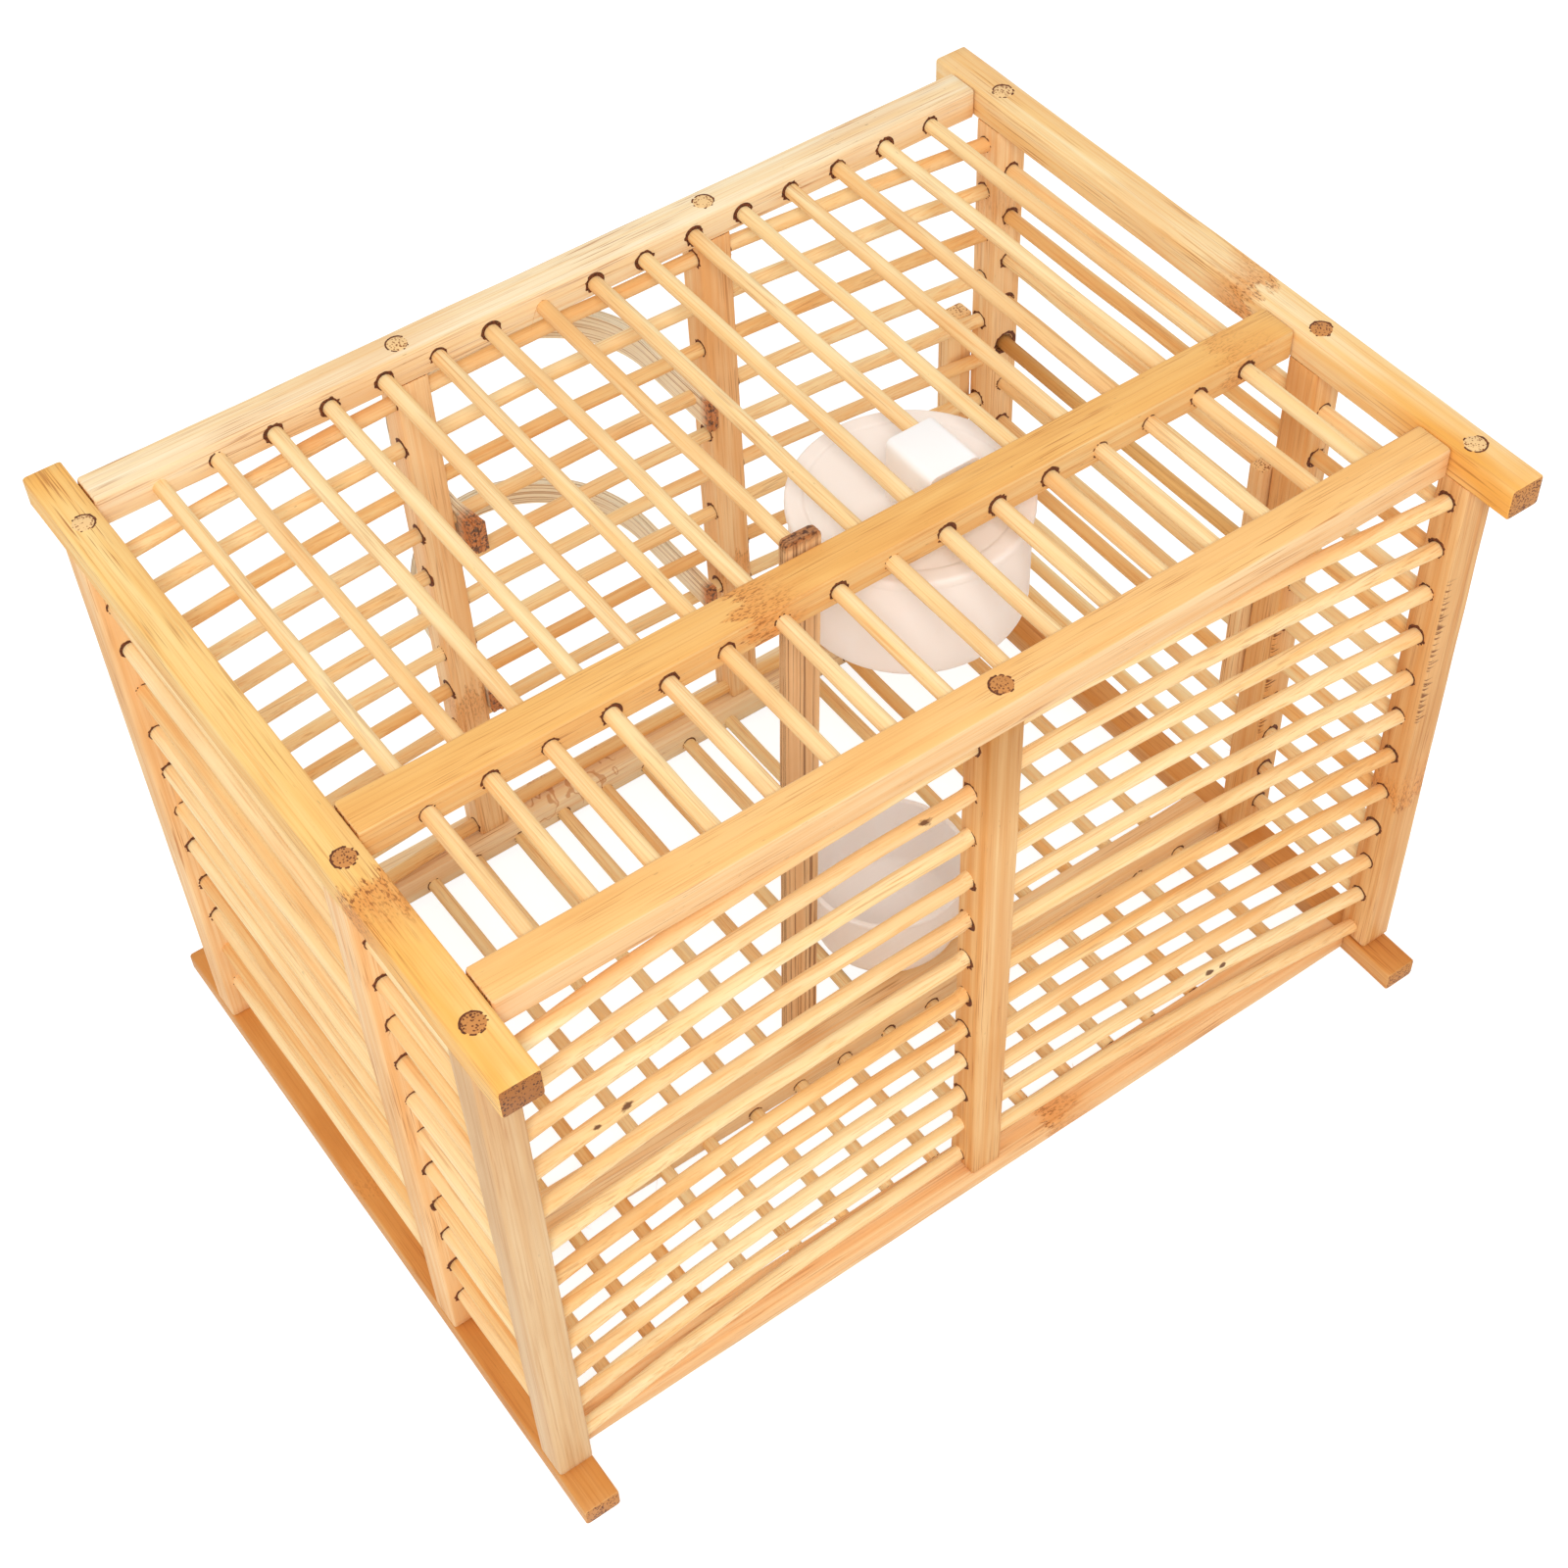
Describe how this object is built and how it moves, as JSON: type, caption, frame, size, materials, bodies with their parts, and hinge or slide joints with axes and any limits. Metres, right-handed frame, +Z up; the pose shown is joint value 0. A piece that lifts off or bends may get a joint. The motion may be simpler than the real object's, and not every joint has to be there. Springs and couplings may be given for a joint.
{
  "type": "birdcage",
  "caption": "Rectangular bamboo birdcage: square posts and rails closed by thin dowels, with a hanging pot, a floor bowl, a turning strip and two hoops at the back.",
  "frame": {"origin": "on the ground, at the centre of the bottom of the whole object's box", "axes": "+X along the cage's length, +Y from the front wall with the single centre post to the back wall with the hoops, +Z up"},
  "size_m": [0.3734, 0.3582, 0.2653],
  "materials": {
    "pale_bamboo": "planed pale bamboo with fine straight grain",
    "deep_bamboo": "bamboo with its orange skin side showing",
    "dowel_bamboo": "drawn bamboo dowel, smooth",
    "dark_bamboo": "polished dark bamboo dowel",
    "weathered_bamboo": "grey-brown weathered bamboo laminate",
    "white_plastic": "white moulded plastic"
  },
  "bodies": {
    "cage": {"left_top_bar": "pale_bamboo", "right_top_bar": "pale_bamboo", "left_foot_bar": "deep_bamboo", "right_foot_bar": "deep_bamboo", "front_top_rail": "pale_bamboo", "middle_top_rail": "deep_bamboo", "back_top_rail": "pale_bamboo", "front_bottom_rail": "pale_bamboo", "middle_bottom_rail": "dowel_bamboo", "back_bottom_rail": "pale_bamboo", "front_left_post": "pale_bamboo", "front_right_post": "pale_bamboo", "back_left_post": "pale_bamboo", "back_right_post": "pale_bamboo", "middle_left_post": "pale_bamboo", "middle_right_post": "pale_bamboo", "front_centre_post": "deep_bamboo", "back_wall_left_post": "pale_bamboo", "back_wall_right_post": "pale_bamboo", "top_dowel_01": "dowel_bamboo", "top_dowel_02": "dowel_bamboo", "top_dowel_03": "dowel_bamboo", "top_dowel_04": "dowel_bamboo", "top_dowel_05": "dowel_bamboo", "top_dowel_06": "dowel_bamboo", "top_dowel_07": "dowel_bamboo", "top_dowel_08": "dowel_bamboo", "top_dowel_09": "dowel_bamboo", "top_dowel_10": "dowel_bamboo", "top_dowel_11": "dowel_bamboo", "top_dowel_12": "dowel_bamboo", "top_dowel_13": "dowel_bamboo", "top_dowel_14": "dowel_bamboo", "top_dowel_15": "dowel_bamboo", "top_dowel_16": "dowel_bamboo", "front_dowel_01": "dowel_bamboo", "front_dowel_02": "dowel_bamboo", "front_dowel_03": "dowel_bamboo", "front_dowel_04": "dowel_bamboo", "front_dowel_05": "dowel_bamboo", "front_dowel_06": "dowel_bamboo", "front_dowel_07": "dowel_bamboo", "front_dowel_08": "dowel_bamboo", "front_dowel_09": "dowel_bamboo", "front_dowel_10": "dowel_bamboo", "front_dowel_11": "dowel_bamboo", "front_dowel_12": "dowel_bamboo", "upper_hoop": "weathered_bamboo", "lower_hoop": "weathered_bamboo", "outer_batten": "pale_bamboo", "inner_batten": "pale_bamboo"},
    "loose_dowel": {"loose_wall_dowel": "dark_bamboo"},
    "strip": {"turning_strip": "weathered_bamboo"},
    "pot": {"hanging_pot": "white_plastic", "pot_lid": "white_plastic"},
    "bowl": {"floor_bowl": "white_plastic"}
  },
  "joints": [
    {"name": "strip_swing", "type": "hinge", "parent": "cage", "child": "strip", "pos_m": [-0.0095, -0.0664, 0.25325], "axis": [0, 1, 0], "range_deg": [-4, 38]},
    {"name": "pot_swing", "type": "hinge", "parent": "cage", "child": "pot", "pos_m": [0.0514, -0.0551, 0.25325], "axis": [0, 1, 0], "range_deg": [-10, 10]},
    {"name": "bowl_lift", "type": "slide", "parent": "cage", "child": "bowl", "axis": [0, 0, 1], "range_m": [0, 0.12]},
    {"name": "loose_dowel_slide", "type": "slide", "parent": "cage", "child": "loose_dowel", "axis": [0, 1, 0], "range_m": [0, 0.15]}
  ]
}
